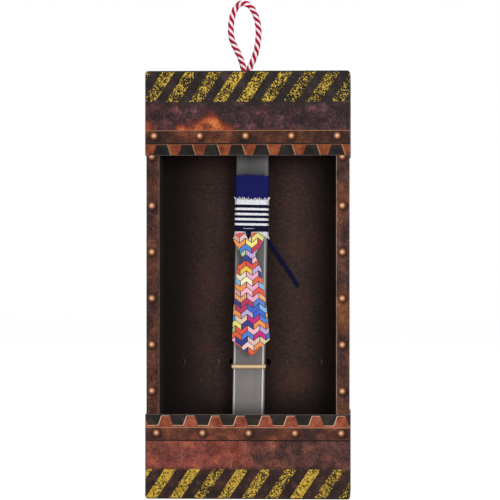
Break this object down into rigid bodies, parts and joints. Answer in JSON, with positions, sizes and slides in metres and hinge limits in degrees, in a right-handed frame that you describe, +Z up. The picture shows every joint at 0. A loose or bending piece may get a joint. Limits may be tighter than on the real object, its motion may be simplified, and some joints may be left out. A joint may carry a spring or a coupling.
{
  "type": "easter candle",
  "caption": "Flat wax candle with cloth bands and a tie-shaped pendant on a lace, held by an elastic in an open-fronted carton tray with slip-on end caps and a twisted cord loop for hanging.",
  "frame": {"origin": "middle of the carton's base, where it stands on its bottom cap", "axes": "+Z up along the candle, +Y towards the closed back, the open front faces -Y, +X to the right as seen from the front"},
  "size_m": [0.1542, 0.0406, 0.3769],
  "materials": {
    "printed_board": "printed rust and hazard stripe pattern, matt varnish",
    "dark_board": "dark brown print, matt",
    "elastic": "beige, matt",
    "twisted_cord": "red and white strands twisted together",
    "grey_wax": "scraped grey wax with satin edges",
    "cotton_wick": "braided cotton",
    "blue_ribbon": "royal blue, matt",
    "striped_cloth": "white with navy stripes, frayed edges",
    "navy_lace": "navy suede lace",
    "white_plate": "white, satin cut edges",
    "printed_face": "herringbone print in many colours, satin"
  },
  "bodies": {
    "bottom_cap": {"bottom_cap": "printed_board"},
    "tray": {"tray_back": "printed_board", "left_rim": "printed_board", "right_rim": "printed_board", "raised_card": "dark_board", "elastic_band": "elastic"},
    "top_cap": {"top_cap": "printed_board", "hang_loop": "twisted_cord", "loop_knot": "twisted_cord"},
    "candle": {"candle_wax": "grey_wax", "wick": "cotton_wick", "ribbon_band": "blue_ribbon", "striped_wrap": "striped_cloth", "lace_wrap": "navy_lace", "lace_tail": "navy_lace"},
    "lace_knot": {"lace_knot": "navy_lace"},
    "tie": {"tie_plate": "white_plate", "tie_face": "printed_face", "lace_drop": "navy_lace"}
  },
  "joints": [
    {"name": "tray_lift", "type": "slide", "parent": "bottom_cap", "child": "tray", "axis": [0, 0, 1], "range_m": [0, 0.066]},
    {"name": "top_cap_lift", "type": "slide", "parent": "tray", "child": "top_cap", "axis": [0, 0, 1], "range_m": [0, 0.066]},
    {"name": "candle_lift", "type": "slide", "parent": "tray", "child": "candle", "axis": [0.0175, 0, 0.9998], "range_m": [0, 0.008]},
    {"name": "tie_swing", "type": "hinge", "parent": "candle", "child": "lace_knot", "pos_m": [0.00016, -0.0126, 0.19991], "axis": [0, 1, 0], "range_deg": [-30, 30]},
    {"name": "tie_lift", "type": "hinge", "parent": "lace_knot", "child": "tie", "pos_m": [0.00016, -0.0126, 0.19991], "axis": [-1, 0, 0], "range_deg": [0, 75]}
  ]
}
